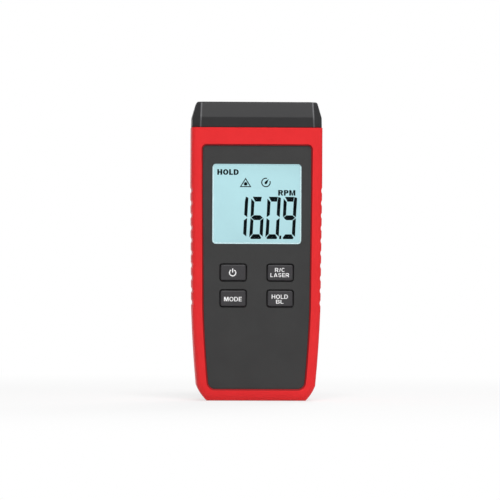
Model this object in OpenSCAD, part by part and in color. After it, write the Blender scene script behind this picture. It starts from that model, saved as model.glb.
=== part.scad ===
// Handheld laser tachometer, standing on its foot.
// +Z runs up the instrument, the face looks to -Y, and the origin is the middle of the foot.

/* [Body] */
// Width over the grips
body_w = 55.7; // [54.5:0.1:60]
// Depth from the front frame to the back
body_d = 29; // [28.5:0.5:32]
// Height of the shell from the foot to the nose cap
shell_h = 116.2; // [113:0.2:122]
// Wall thickness of the housing
wall = 2; // [1.9:0.1:2.2]
// Depth of the front case from its frame to the parting line
front_case_d = 14.5; // [12:0.5:15]
// Depth of the tongue that laps the two cases along the parting line
seam_h = 1.5; // [1:0.1:2]
// Thickness of the tongue
seam_t = 1; // [0.8:0.1:1.2]
// Width of the groove along the parting line
seam_groove_w = 0.35; // [0.2:0.05:0.5]
// Depth of the groove along the parting line
seam_groove_d = 0.6; // [0.45:0.05:0.8]
// Clearance between the lapped cases
seam_gap = 0.1; // [0.05:0.01:0.2]

/* [Taper and foot] */
// Height at which the grip ends and the lower taper begins
grip_low_z = 39; // [36:0.5:40]
// Height at which the grip begins below the display
grip_top_z = 91; // [88:0.5:100]
// Width at the lower end of the grip
grip_low_w = 54.6; // [54:0.1:56]
// Width where the taper meets the rounded foot corners
taper_w = 50.4; // [49.5:0.1:52]
// How far the taper bows out at its middle
taper_bow = 0.25; // [0:0.05:0.5]
// Height of the foot corners
corner_z = 6.4; // [6:0.1:8]
// Radius of the foot corners
corner_r = 17.2; // [16:0.1:19]
// Lean of the foot corner where it leaves the taper, in degrees
corner_lean = 20; // [14:1:24]

/* [Edges] */
// How far the rounded front edge comes in from the side
front_edge_w = 2.6; // [2:0.1:3]
// How deep the rounded front edge runs
front_edge_d = 2.2; // [1.8:0.1:2.6]
// How far the front edge rises at the foot
front_edge_rise = 3.2; // [2.6:0.1:3.3]
// Radius of the back's long edges
rear_edge_r = 6.5; // [5:0.1:7]
// How far the back edge rises at the foot
rear_edge_rise = 4.5; // [4:0.1:5]
// Chamfer inside the front case's long corners
inner_edge = 0.8; // [0.6:0.1:1]

/* [Grip] */
// Number of notches in each side
notch_count = 10; // [6:1:10]
// Distance between the notches
notch_pitch = 5.33; // [4.8:0.01:5.4]
// Radius of a notch
notch_r = 2.2; // [1.6:0.1:2.4]
// Depth of a notch
notch_depth = 0.42; // [0.3:0.02:0.6]
// Height of the lowest notch
notch_low_z = 41.5; // [40:0.1:43]

/* [Nose cap] */
// Height of the cap over the shell
cap_h = 11; // [10:0.1:13]
// Height of its upright side
cap_side_h = 4.3; // [4:0.1:5.5]
// Width of its flat top
cap_top_w = 51.5; // [48:0.1:52]
// Depth of its flat top
cap_top_d = 24; // [22:0.5:26]
// How far the cap stands back from the shell
cap_step = 0.2; // [0.1:0.05:0.4]
// Width of the corner faces beside the front
cap_corner_w = 3.8; // [3:0.1:4.5]
// Depth of the corner faces
cap_corner_d = 3; // [2.4:0.1:3.6]
// How far the corner faces shrink towards the top
cap_corner_fall = 1.6; // [1:0.1:2]
// How far each upright side leans in
cap_draft = 0.1; // [0:0.05:0.2]
// Rounded edge of the top
cap_edge = 0.5; // [0.3:0.1:0.8]
// Depth of the collar that plugs into the shell
collar_h = 2.5; // [2:0.1:3]
// Thickness of the collar
collar_t = 1.2; // [1:0.1:1.6]
// Clearance round the collar
collar_gap = 0.15; // [0.1:0.05:0.3]

/* [Face panel] */
// Red frame beside the panel
frame_side = 4.8; // [4.4:0.1:5.2]
// Red frame above the panel
frame_top = 7.7; // [6.5:0.1:8]
// Red frame below the panel
frame_foot = 5; // [4.6:0.1:6]
// How far the panel lies behind the frame
panel_recess = 0.8; // [0.6:0.1:1]
// Slope of the frame's inner edge
frame_draft = 0.6; // [0.3:0.1:0.8]
// Lip that holds the panel behind the frame
panel_lip = 1.5; // [1:0.1:1.6]
// Thickness of the lip
panel_lip_t = 1; // [0.8:0.1:1.2]
// Clearance round the panel
panel_gap = 0.05; // [0.02:0.01:0.1]
// Radius of the panel's upper corners
panel_top_r = 1.5; // [1:0.1:3]
// Radius of the panel's lower corners
panel_low_r = 3; // [2:0.1:4]

/* [Display] */
// Width of the display opening
window_w = 37.9; // [35:0.1:38.5]
// Height of the display opening
window_h = 34; // [32:0.1:35]
// Panel above the display
window_drop = 7.8; // [7.6:0.1:9]
// Corner radius of the display opening
window_r = 1.5; // [1:0.1:2.5]
// How far the window lies behind the panel
window_sink = 0.15; // [0.05:0.05:0.3]
// Shoulder round the window, behind the panel
window_lip = 1.2; // [0.8:0.1:1.4]
// Thickness of the shoulder
window_lip_t = 0.6; // [0.5:0.1:0.8]
// Clearance round the window
window_gap = 0.05; // [0.02:0.01:0.1]
// Gap between the window and the display glass
glass_gap = 0.1; // [0.05:0.05:0.3]
// Thickness of one display glass
glass_t = 1.1; // [0.7:0.1:1.2]
// Display glass beyond the opening at the sides and top
glass_margin = 0.8; // [0.6:0.1:1]
// Width of the contact ledge at the lower edge of the glass
glass_ledge = 2.4; // [2:0.1:2.6]
// Thickness of the backlight
light_t = 2.4; // [2:0.1:3]
// Wall of the display frame
lcd_frame_t = 0.9; // [0.8:0.1:1.1]
// Clearance of the glass in its frame
lcd_fit = 0.15; // [0.1:0.05:0.2]
// Distance of the rubber contact strip from the ends of the glass
zebra_end = 1; // [0.5:0.1:2]
// Width of the rubber contact strip
zebra_w = 1.8; // [1.5:0.1:2]

/* [Keys] */
// Width of a key
key_w = 10.7; // [9:0.1:11]
// Height of a key
key_h = 6.7; // [6:0.1:7]
// Corner radius of a key
key_r = 0.8; // [0.5:0.1:1.5]
// Rounded edge of a key
key_edge = 0.35; // [0.2:0.05:0.5]
// Gap between a key and the panel
key_gap = 0.5; // [0.25:0.05:0.6]
// Distance between the key columns
key_pitch_x = 20; // [18:0.1:21]
// Distance between the key rows
key_pitch_z = 11; // [10.6:0.1:12]
// Distance from the display opening to the middle of the upper keys
key_drop = 12.2; // [11.8:0.1:13]
// How far a key stands out of the panel
key_proud = 0.6; // [0.4:0.1:0.7]
// Travel of a key
key_travel = 0.6; // [0.4:0.05:0.65]
// Flange that keeps a key behind the panel
key_flange = 1.1; // [0.8:0.1:1.2]
// Thickness of the flange
key_flange_t = 0.8; // [0.6:0.1:1]
// Gap between the flange and the panel
key_rest_gap = 0.3; // [0.25:0.05:0.4]
// Side of a tact switch
switch_w = 6; // [5:0.1:6.5]
// Height of a tact switch body
switch_h = 3.1; // [2.8:0.1:3.2]
// Diameter of a switch plunger
plunger_d = 3.4; // [3:0.1:3.6]
// Depth of a plunger in its switch
plunger_seat = 1; // [0.8:0.1:1.1]
// Running clearance round a plunger
plunger_gap = 0.25; // [0.2:0.05:0.3]

/* [Board] */
// Width of the circuit board
board_w = 45; // [43:0.5:46]
// Thickness of the circuit board
board_t = 1.6; // [1.2:0.1:1.7]
// Distance from the top of the shell to the board
board_drop = 4.2; // [4:0.1:5]
// Height of the board's lower edge
board_low_z = 14; // [12:0.5:17]
// Side of the microcontroller
chip_w = 12; // [8:0.5:14]
// Thickness of the microcontroller
chip_t = 1.4; // [1:0.1:1.6]
// Length of the crystal can
crystal_l = 11; // [9:0.5:12]
// Width of the crystal can
crystal_w = 4.6; // [4:0.1:5]
// Height of the crystal can
crystal_h = 3.5; // [2.5:0.1:3.6]
// Gap between the microcontroller and the crystal can
crystal_gap = 2.3; // [1:0.1:4]

/* [Screws] */
// Diameter of a screw shank
screw_d = 2.2; // [1.8:0.1:2.4]
// Diameter of a screw head
screw_head_d = 4.2; // [3.6:0.1:4.6]
// Height of a screw head
screw_head_h = 1.3; // [1:0.1:1.4]
// Width of the cross slot in a screw head
screw_slot_w = 0.55; // [0.4:0.05:0.7]
// Clearance round a screw shank
screw_gap = 0.1; // [0.05:0.05:0.2]
// Clearance round a screw head in its counterbore
screw_head_gap = 0.3; // [0.2:0.05:0.4]
// Wall round a screw hole
post_t = 1.15; // [1:0.05:1.3]
// Distance of the upper case screws from the middle
case_screw_x = 18.5; // [18:0.1:18.8]
// Distance of the upper case screws from the top of the shell
case_screw_drop = 9.7; // [9:0.1:10]
// Depth of the counterbores in the back
case_screw_sink = 6; // [4:0.5:8]
// Height of the case screws in the battery bay
bay_screw_z = 24; // [22:0.5:27]
// Distance of the board screws from the middle
board_screw_x = 19.5; // [19.2:0.1:19.8]
// Gap between the board screw posts and the display frame
board_screw_drop = 0.6; // [0.5:0.1:0.8]
// Depth to which a screw enters its post
screw_bite = 4.4; // [3.5:0.1:4.6]

/* [Optics] */
// Width of the optics holder
holder_w = 29; // [27:0.5:29]
// Depth of the optics holder
holder_d = 13; // [12.4:0.1:13.4]
// Length of the holder below the top of the shell
holder_below = 17; // [15:0.5:19]
// Length of the holder above the top of the shell
holder_above = 3.5; // [2:0.1:4]
// Distance of the laser from the middle
laser_x = 8; // [7:0.1:8.5]
// Diameter of the laser module
laser_d = 6.5; // [6:0.1:7]
// How far the laser module stands out below the holder
laser_tail = 1; // [0.5:0.1:1.5]
// How far the laser module stands out of the holder
laser_out = 1.5; // [0.5:0.1:2]
// Diameter of the laser lens
laser_lens_d = 4; // [3:0.1:4.5]
// Thickness of the laser lens
laser_lens_t = 1.2; // [1:0.1:1.4]
// Distance of the receiver from the middle
receiver_x = 6.5; // [6:0.1:7]
// Bore of the receiver tube
receiver_d = 9; // [8:0.1:9.4]
// Diameter of the receiver lens
receiver_lens_d = 10.4; // [10:0.1:11]
// Thickness of the receiver lens
receiver_lens_t = 3; // [2.5:0.1:3.4]
// Radius of the receiver lens's face
receiver_lens_r = 9; // [8.5:0.5:14]
// Depth of the receiver lens's seat
receiver_lens_seat = 2; // [1.6:0.1:2.4]
// Diameter of the photodiode
diode_d = 5; // [4:0.1:5.5]
// Height of the photodiode
diode_h = 4.6; // [4:0.1:6]
// Clearance of the optical pieces in the holder
optic_fit = 0.1; // [0.05:0.05:0.15]
// Diameter of the pegs that set the holder on the board
peg_d = 2; // [1.6:0.1:2.4]
// Distance of the pegs from the holder's edges
peg_edge = 4; // [3.5:0.1:5]
// Width of the sensor window in the nose
sensor_w = 32; // [30:0.5:36]
// Depth of the sensor window
sensor_d = 11; // [10:0.5:12]
// How far the sensor window lies below the nose
sensor_sink = 0.3; // [0.1:0.1:0.5]
// Shoulder round the sensor window
sensor_lip = 1; // [0.8:0.1:1.2]

/* [Battery bay] */
// Diameter of a cell
cell_d = 10.5; // [10.2:0.1:10.6]
// Length of a cell over its button
cell_l = 44.5; // [44:0.1:45]
// Height of a cell's button
button_h = 1; // [0.8:0.1:1.2]
// Diameter of a cell's button
button_d = 3.8; // [3.4:0.1:4]
// Gap between the cells
cell_gap = 0.5; // [0.4:0.1:0.6]
// Clearance between the cells and the bay
cell_fit = 0.25; // [0.2:0.05:0.3]
// Height of the bay's lower end
bay_z = 9.5; // [9.5:0.1:11]
// Thickness of the bay's floor and end walls
bay_wall = 1.6; // [1.4:0.1:1.8]
// Thickness of the bay's side walls
bay_side = 2.6; // [2.5:0.1:2.8]
// Height of a contact spring
spring_h = 5.7; // [5:0.1:6.5]
// Diameter of a contact spring
spring_d = 6; // [5:0.1:7]
// Diameter of the spring wire
spring_wire = 0.6; // [0.5:0.1:0.7]
// Turns of a contact spring
spring_turns = 4; // [3:1:5]
// Thickness of the contact plates
contact_t = 0.4; // [0.3:0.1:0.5]
// Width of a contact plate
contact_w = 8; // [7:0.5:9]
// Width of a contact's solder tab
tab_w = 3; // [2:0.5:4]

/* [Battery door] */
// Clearance round the door
door_gap = 0.3; // [0.25:0.05:0.4]
// Clearance between the door and its ledge
door_seat = 0.2; // [0.15:0.05:0.3]
// Ledge under the door's long edges
door_ledge = 1.7; // [1.4:0.1:1.8]
// Radius of the hinge barrels
hinge_r = 1.2; // [1.1:0.1:1.3]
// Height of the hinge above the bay's lower end
hinge_rise = 1.7; // [1.6:0.1:1.9]
// How far the rounded wall below the door stands out past the barrels
lip_clear = 0.15; // [0.1:0.01:0.15]
// Distance from the middle to a hinge barrel
barrel_x = 8; // [7:0.1:9]
// Length of a hinge barrel
barrel_l = 8; // [6:0.1:8.2]
// Diameter of the hinge pins
pin_d = 1; // [0.9:0.1:1.2]
// Length of the hinge pins
pin_l = 1.8; // [1.5:0.1:2]
// Running clearance of the hinge pins
pin_gap = 0.2; // [0.15:0.05:0.2]
// Width of the latch
latch_w = 12; // [10:0.5:14]
// Height of the latch above the door
latch_h = 2.8; // [2.6:0.1:3.2]
// Length of the latch leg
latch_leg = 3; // [2.5:0.1:3.5]
// Thickness of the latch leg
latch_leg_t = 1; // [0.8:0.1:1.2]
// Number of grip grooves on the door
groove_count = 5; // [3:1:6]
// Distance between the grip grooves
groove_pitch = 2.4; // [2:0.1:3]
// Width of the grip grooves
groove_w = 20; // [16:1:26]
// Radius of the grip grooves
groove_r = 0.6; // [0.4:0.1:0.7]
// Depth of the grip grooves
groove_depth = 0.4; // [0.2:0.05:0.5]
// Distance from the door's top to the first groove
groove_drop = 4.8; // [4:0.1:6]
// Height of the ribs inside the door that keep the cells apart
rib_h = 1.2; // [0.8:0.1:1.6]
// Thickness of the ribs
rib_t = 0.8; // [0.6:0.1:1.2]
// Distance of the ribs from the ends of the door
rib_end = 1; // [0.8:0.1:3]
// Depth of the finger hollow above the latch
scoop_depth = 1.1; // [0.8:0.1:1.2]
// Radius of the finger hollow
scoop_r = 12; // [10:0.5:14]

/* [Hidden] */
$fn = 48;

red = "#ea3639";
panel_grey = "#424242";
cap_grey = "#4a4a4c";
key_grey = "#454347";
smoke = "#2a1416";
clear_blue = "#cfe6ea";
lcd_blue = "#b6e0e6";
white_plastic = "#ececec";
board_green = "#1f6b3f";
black_plastic = "#1b1b1d";
rubber_grey = "#6b6b70";
brass_tone = "#b8923f";
steel_tone = "#b9bcc0";
lens_tint = "#d8e4ea";
cell_tone = "#3b4a5c";

// Cuts run this far past the faces that they open
over = 1;
// Pieces that grow out of a wall start this far inside it
root = 0.4;
// Steps of a rounded corner
arc_steps = 6;
// Steps of the bowed taper
bow_steps = 4;
// Steps of the rounded long edges
edge_steps = 5;
// Sides of the spring wire, steps of a turn and the share of its width at the cell
wire_sides = 6;
coil_steps = 14;
coil_taper = 0.75;

// Depth stack from the front
y_front = -body_d / 2;
y_back = body_d / 2;
split_y = y_front + front_case_d;
panel_y = y_front + panel_recess;
lip_y = y_front + wall;
panel_back_y = lip_y + panel_lip_t;
window_back_y = panel_back_y + window_lip_t;
glass_y = window_back_y + glass_gap;
light_y = glass_y + 2 * glass_t;
board_y = light_y + light_t;
board_back_y = board_y + board_t;
key_y = panel_y - key_proud;
flange_y = panel_back_y + key_rest_gap;
key_back_y = flange_y + key_flange_t;
switch_y = board_y - switch_h;

// Heights on the face
panel_z = frame_foot;
panel_top_z = shell_h - frame_top;
window_top_z = panel_top_z - window_drop;
window_z = window_top_z - window_h;
key_top_z = window_z - key_drop;
key_low_z = key_top_z - key_pitch_z;
power_at = [-key_pitch_x / 2, key_top_z];
laser_at = [key_pitch_x / 2, key_top_z];
mode_at = [-key_pitch_x / 2, key_low_z];
hold_at = [key_pitch_x / 2, key_low_z];
key_places = [power_at, laser_at, mode_at, hold_at];

// Display stack
glass_w = window_w + 2 * glass_margin;
glass_top_z = window_top_z + glass_margin;
glass_z = window_z - glass_margin - glass_ledge;
lcd_box_w = glass_w + 2 * lcd_fit + 2 * lcd_frame_t;
lcd_box_z = glass_z - lcd_fit - lcd_frame_t;
lcd_box_top_z = glass_top_z + lcd_fit + lcd_frame_t;

// Screw places, as x and z
post_r = screw_d / 2 + screw_gap / 2 + post_t;
case_screw_z = shell_h - case_screw_drop;
board_screw_z = lcd_box_z - board_screw_drop - post_r;
cell_pitch = cell_d + cell_gap;
bay_screw_x = cell_pitch / 2;
upper_screws = [[-case_screw_x, case_screw_z], [case_screw_x, case_screw_z]];
bay_screws = [[-bay_screw_x, bay_screw_z], [bay_screw_x, bay_screw_z]];
board_screw_places = [[-board_screw_x, board_screw_z], [board_screw_x, board_screw_z]];
upper_seat_y = y_back - case_screw_sink;
upper_boss_r = screw_head_d / 2 + screw_head_gap + post_t;

// Battery bay
bay_w = 3 * cell_d + 2 * cell_gap + 2 * cell_fit;
bay_top_z = bay_z + cell_l + spring_h + 2 * contact_t;
cell_y = y_back - wall - cell_fit - cell_d / 2;
bay_y = cell_y - cell_d / 2 - cell_fit;
floor_y = bay_y - bay_wall;
cell_rest_z = bay_z + contact_t;
contact_top_z = bay_top_z - contact_t;

// Battery door
door_t = wall - door_seat;
door_y = y_back - door_t;
door_w = bay_w + 2 * door_ledge;
hinge_y = y_back - hinge_r;
hinge_z = bay_z + hinge_rise;
door_z = hinge_z + hinge_r + door_gap;
door_top_z = bay_top_z + bay_wall - door_gap - door_seat;
leg_z = bay_top_z + bay_wall + door_gap;
latch_top_z = door_top_z + latch_h;
pin_x = barrel_x + barrel_l;

// Optics
optic_y = board_back_y + holder_d / 2;
holder_z = shell_h - holder_below;
holder_top_z = shell_h + holder_above;
nose_z = shell_h + cap_h;
nose_inner_z = nose_z - wall;
laser_top_z = holder_top_z + laser_out;
lens_seat_z = holder_top_z - receiver_lens_seat;
peg_x = holder_w / 2 - peg_edge;
pegs = [[-peg_x, holder_z + peg_edge], [peg_x, holder_z + peg_edge]];

function mix(a, b, t) = a + (b - a) * t;
function unit(v) = v / norm(v);

// Half width of the shell at a height, with the taper running on below the foot corners
function taper_x(z) =
    let (t = (z - corner_z) / (grip_low_z - corner_z))
    mix(taper_w, grip_low_w, t) / 2 + taper_bow * 4 * t * (1 - t);
// Points of the bowed taper between its ends, set in from the side
function taper_points(inset) =
    [for (k = [1:bow_steps - 1]) let (z = mix(corner_z, grip_low_z, k / bow_steps)) [taper_x(z) - inset, z]];
function grip_x(z) = mix(grip_low_w, body_w, (z - grip_low_z) / (grip_top_z - grip_low_z)) / 2;
function side_x(z) = z > grip_top_z ? body_w / 2 : z > grip_low_z ? grip_x(z) : taper_x(z);

// Points of an arc that rounds corner b between a and c
function corner_arc(a, b, c, r) =
    let (
        u = unit(a - b),
        v = unit(c - b),
        half = acos(u * v) / 2,
        centre = b + unit(u + v) * r / sin(half),
        from = b + u * r / tan(half) - centre,
        to = b + v * r / tan(half) - centre,
        start = atan2(from[1], from[0]),
        turn = atan2(cross(from, to), from * to)
    )
    [for (k = [0:arc_steps]) let (a = start + turn * k / arc_steps) centre + r * [cos(a), sin(a)]];

function mirrored(right) = concat(right, [for (i = [len(right) - 1:-1:0]) [-right[i][0], right[i][1]]]);

// Front view of the shell, set in from the sides and raised from the foot
corner_centre = [taper_w / 2 - corner_r * cos(corner_lean), corner_z + corner_r * sin(corner_lean)];
function shell_outline(inset, rise, top = shell_h) =
    let (
        r = corner_r - inset,
        end = asin(min(1, (corner_centre[1] - rise) / r)),
        foot = [for (k = [arc_steps:-1:0]) let (a = mix(corner_lean, end, k / arc_steps))
            corner_centre + r * [cos(a), -sin(a)]]
    )
    mirrored(concat(foot, taper_points(inset), [
        [grip_low_w / 2 - inset, grip_low_z],
        [body_w / 2 - inset, grip_top_z],
        [body_w / 2 - inset, top]
    ]));

// Front view of the face panel, grown by a margin
function panel_outline(grow) =
    let (
        low = [taper_x(panel_z) - frame_side + grow, panel_z - grow],
        bow = taper_points(frame_side - grow),
        bend = [grip_low_w / 2 - frame_side + grow, grip_low_z],
        high = [body_w / 2 - frame_side + grow, grip_top_z],
        top = [body_w / 2 - frame_side + grow, panel_top_z + grow]
    )
    mirrored(concat(
        corner_arc([0, low[1]], low, bow[0], panel_low_r + grow),
        bow,
        [bend, high],
        corner_arc(high, top, [0, top[1]], panel_top_r + grow)
    ));

// Plan view of the nose cap, with corner faces in front and round corners behind
function cap_plan(w, d, corner_w, corner_d) =
    let (r = rear_edge_r)
    mirrored(concat(
        [[w / 2 - corner_w, -d / 2], [w / 2, corner_d - d / 2]],
        [for (k = [0:arc_steps]) let (a = 90 * k / arc_steps)
            [w / 2 - r + r * cos(a), d / 2 - r + r * sin(a)]]
    ));

function upright(outline, y) = [for (p = outline) [p[0], y, p[1]]];
function level(plan, z) = [for (p = plan) [p[0], p[1], z]];

// Rings of the shell from the back to the front, the back edge rising late at the foot
function rear_ring(t, inset) =
    let (r = rear_edge_r - inset, top = inset > 0 ? shell_h + over : shell_h)
    upright(
        shell_outline(inset + r * (1 - cos(t)), inset + rear_edge_rise * pow(1 - cos(t), 2), top),
        y_back - inset - r * (1 - sin(t))
    );
rear_outer = concat(
    [for (k = [edge_steps:-1:0]) rear_ring(90 * k / edge_steps, 0)],
    [upright(shell_outline(0, 0), split_y)]
);
rear_inner = concat(
    [for (k = [edge_steps:-1:0]) rear_ring(90 * k / edge_steps, wall)],
    [upright(shell_outline(wall, wall, shell_h + over), split_y - over)]
);
front_outer = concat(
    [upright(shell_outline(0, 0), split_y)],
    [for (k = [0:edge_steps]) let (t = 90 * k / edge_steps) upright(
        shell_outline(front_edge_w * (1 - cos(t)), front_edge_rise * (1 - cos(t))),
        y_front + front_edge_d * (1 - sin(t)))]);
front_inner = [
    upright(shell_outline(wall, wall, shell_h + over), split_y + over),
    upright(shell_outline(wall, wall, shell_h + over), lip_y + inner_edge),
    upright(shell_outline(wall + inner_edge, wall + inner_edge, shell_h + over), lip_y)
];

// Solid through a row of rings with equal point counts, each seen counter-clockwise from the next
module loft(rings) {
    n = len(rings[0]);
    last = len(rings) - 1;
    polyhedron(
        points = [for (ring = rings) each ring],
        faces = concat(
            [[for (i = [0:n - 1]) i]],
            [[for (i = [n - 1:-1:0]) last * n + i]],
            [for (k = [0:last - 1], i = [0:n - 1]) let (j = (i + 1) % n, here = k * n, next = here + n)
                [here + i, next + i, next + j]],
            [for (k = [0:last - 1], i = [0:n - 1]) let (j = (i + 1) % n, here = k * n, next = here + n)
                [here + i, next + j, here + j]]
        )
    );
}

// Flat shape in the front view, from depth y0 to depth y1
module slab(y0, y1) {
    translate([0, y1, 0])
        rotate([90, 0, 0])
            linear_extrude(y1 - y0)
                children();
}

module rounded_rect(w, h, r) {
    square([w - 2 * r, h], center = true);
    square([w, h - 2 * r], center = true);
    for (x = [-1, 1], y = [-1, 1])
        translate([x * (w / 2 - r), y * (h / 2 - r)])
            circle(r);
}

// Box between two corners
module span(a, b) {
    translate(a)
        cube(b - a);
}

// Round bar along the depth at x and z
module bar(at, d, y0, y1) {
    translate([at[0], y1, at[1]])
        rotate([90, 0, 0])
            cylinder(d = d, h = y1 - y0);
}

module grip_notches() {
    for (side = [-1, 1], i = [0:notch_count - 1])
        let (z = notch_low_z + i * notch_pitch)
            bar([side * (side_x(z) + notch_r - notch_depth), z], 2 * notch_r, y_front - over, y_back + over);
}

// Cut along the front case's edge that leaves a groove at the parting line
module seam_groove() {
    slab(split_y - seam_groove_w, split_y + over)
        difference() {
            polygon(shell_outline(-over, -over, shell_h + over));
            polygon(shell_outline(seam_groove_d, seam_groove_d, shell_h + 2 * over));
        }
}

module front_case() {
    draft = frame_draft * (panel_recess + over) / panel_recess;
    color(red)
        difference() {
            loft(front_outer);
            loft(front_inner);
            loft([
                upright(panel_outline(panel_gap), lip_y + over),
                upright(panel_outline(panel_gap), panel_y),
                upright(panel_outline(panel_gap + draft), y_front - over)
            ]);
            grip_notches();
            seam_groove();
        }
}

module window_shape(grow) {
    translate([0, (window_z + window_top_z) / 2])
        rounded_rect(window_w + 2 * grow, window_h + 2 * grow, window_r + grow);
}

module key_shape(at, grow) {
    translate(at)
        rounded_rect(key_w + 2 * grow, key_h + 2 * grow, key_r + grow);
}

module face_panel() {
    color(panel_grey)
        difference() {
            union() {
                slab(panel_y, panel_back_y)
                    polygon(panel_outline(0));
                slab(lip_y, panel_back_y)
                    polygon(panel_outline(panel_lip));
                for (at = concat(upper_screws, bay_screws, board_screw_places))
                    bar(at, 2 * post_r, panel_back_y - root, board_y);
            }
            slab(panel_y - over, panel_back_y + over)
                window_shape(0);
            for (at = key_places)
                slab(panel_y - over, panel_back_y + over)
                    key_shape(at, key_gap);
            for (at = concat(upper_screws, bay_screws, board_screw_places))
                bar(at, screw_d + screw_gap, board_y - screw_bite, board_y + over);
        }
}

module screw_boss(at, r, seat_y) {
    bar(at, 2 * r, board_back_y, seat_y);
}

module hinge_slots() {
    for (side = [-1, 1]) {
        x0 = side > 0 ? barrel_x - door_gap : -pin_x - door_gap;
        span([x0, door_y - over, hinge_z - hinge_r - door_gap],
            [x0 + barrel_l + 2 * door_gap, y_back + over, door_z]);
        translate([side * (pin_x + (pin_l + door_gap) / 2), hinge_y, hinge_z])
            rotate([0, 90, 0])
                cylinder(d = pin_d + 2 * pin_gap, h = pin_l + door_gap, center = true);
    }
}

// Cut that rounds the wall below the door, so that the door's lower edge swings past it
module hinge_lip() {
    difference() {
        span([-door_w / 2 - door_gap, hinge_y, hinge_z], [door_w / 2 + door_gap, y_back + over, door_z]);
        translate([0, hinge_y, hinge_z])
            rotate([0, 90, 0])
                cylinder(r = hinge_r + lip_clear, h = door_w + 2 * door_gap + 2 * over, center = true);
    }
}

module door_opening() {
    span([-door_w / 2 - door_gap, y_back - wall, door_z - door_gap],
        [door_w / 2 + door_gap, y_back + over, door_top_z + door_gap]);
    span([-latch_w / 2 - door_gap, y_back - wall, door_top_z],
        [latch_w / 2 + door_gap, y_back + over, latch_top_z + door_gap]);
    span([-latch_w / 2 - door_gap, y_back - wall - over, leg_z - door_gap],
        [latch_w / 2 + door_gap, y_back + over, latch_top_z + door_gap]);
    hinge_lip();
    hinge_slots();
}

module tab_slots() {
    for (tab = [[-cell_pitch, bay_top_z - contact_t / 2], [cell_pitch, bay_z + contact_t / 2]])
        span([tab[0] - tab_w / 2 - cell_fit, floor_y - over, tab[1] - contact_t],
            [tab[0] + tab_w / 2 + cell_fit, bay_y + over, tab[1] + contact_t]);
}

module rear_case() {
    tongue = wall + seam_gap;
    tongue_top_z = shell_h - collar_h - seam_gap;
    color(red)
        difference() {
            union() {
                difference() {
                    loft(rear_outer);
                    loft(rear_inner);
                    grip_notches();
                }
                slab(split_y - seam_h, split_y + seam_h)
                    difference() {
                        polygon(shell_outline(tongue, tongue, tongue_top_z));
                        polygon(shell_outline(tongue + seam_t, tongue + seam_t, shell_h));
                    }
                slab(split_y, split_y + seam_h)
                    difference() {
                        polygon(shell_outline(wall - root, wall - root, tongue_top_z));
                        polygon(shell_outline(wall + root, wall + root, shell_h));
                    }
                span([-bay_w / 2 - bay_side, floor_y, bay_z - bay_wall],
                    [bay_w / 2 + bay_side, y_back - wall + root, bay_top_z + bay_wall]);
                for (at = upper_screws)
                    screw_boss(at, upper_boss_r, y_back - wall + root);
                for (at = bay_screws)
                    screw_boss(at, post_r, bay_y - root);
            }
            span([-bay_w / 2, bay_y, bay_z], [bay_w / 2, y_back - wall, bay_top_z]);
            door_opening();
            tab_slots();
            for (at = upper_screws) {
                bar(at, screw_d + 2 * screw_gap, board_back_y - over, y_back);
                bar(at, screw_head_d + 2 * screw_head_gap, upper_seat_y, y_back + over);
            }
            for (at = bay_screws)
                bar(at, screw_d + 2 * screw_gap, board_back_y - over, bay_y + over);
            translate([0, y_back + scoop_r - scoop_depth, latch_top_z + door_gap])
                sphere(scoop_r);
        }
}

module obround(w, h) {
    square([w - h, h], center = true);
    for (x = [-1, 1])
        translate([x * (w - h) / 2, 0])
            circle(d = h);
}

module sensor_shape(grow) {
    translate([0, optic_y])
        obround(sensor_w + 2 * grow, sensor_d + 2 * grow);
}

module nose_cap() {
    base_w = body_w - 2 * cap_step;
    base_d = body_d - 2 * cap_step;
    top_w = cap_corner_w - cap_corner_fall;
    top_d = cap_corner_d - cap_corner_fall;
    outer = [
        level(cap_plan(base_w, base_d, cap_corner_w, cap_corner_d), shell_h),
        level(cap_plan(base_w - 2 * cap_draft, base_d, cap_corner_w, cap_corner_d), shell_h + cap_side_h),
        level(cap_plan(cap_top_w, cap_top_d, top_w, top_d), nose_z - cap_edge),
        level(cap_plan(cap_top_w - 2 * cap_edge, cap_top_d - 2 * cap_edge, top_w, top_d), nose_z)
    ];
    base_plan = cap_plan(base_w - 2 * wall, base_d - 2 * wall, cap_corner_w, cap_corner_d);
    inner = [
        level(base_plan, shell_h - over),
        level(base_plan, shell_h + cap_side_h - root),
        level(cap_plan(cap_top_w - 2 * wall, cap_top_d - 2 * wall, top_w, top_d), nose_inner_z)
    ];
    collar_w = body_w - 2 * wall - 2 * collar_gap;
    collar_d = body_d - 2 * wall - 2 * collar_gap;
    hole_w = collar_w - 2 * collar_t;
    hole_d = collar_d - 2 * collar_t;
    color(cap_grey)
        difference() {
            union() {
                difference() {
                    loft(outer);
                    loft(inner);
                }
                translate([0, 0, shell_h - collar_h])
                    linear_extrude(collar_h + root)
                        difference() {
                            polygon(cap_plan(collar_w, collar_d, cap_corner_w, cap_corner_d));
                            polygon(cap_plan(hole_w, hole_d, cap_corner_w, cap_corner_d));
                        }
            }
            translate([0, 0, nose_inner_z - over])
                linear_extrude(wall + 2 * over)
                    sensor_shape(optic_fit);
        }
}

module sensor_window() {
    color(smoke)
        union() {
            translate([0, 0, nose_inner_z - sensor_lip])
                linear_extrude(sensor_lip)
                    sensor_shape(sensor_lip);
            translate([0, 0, nose_inner_z - root])
                linear_extrude(wall - sensor_sink + root)
                    sensor_shape(0);
        }
}

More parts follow.
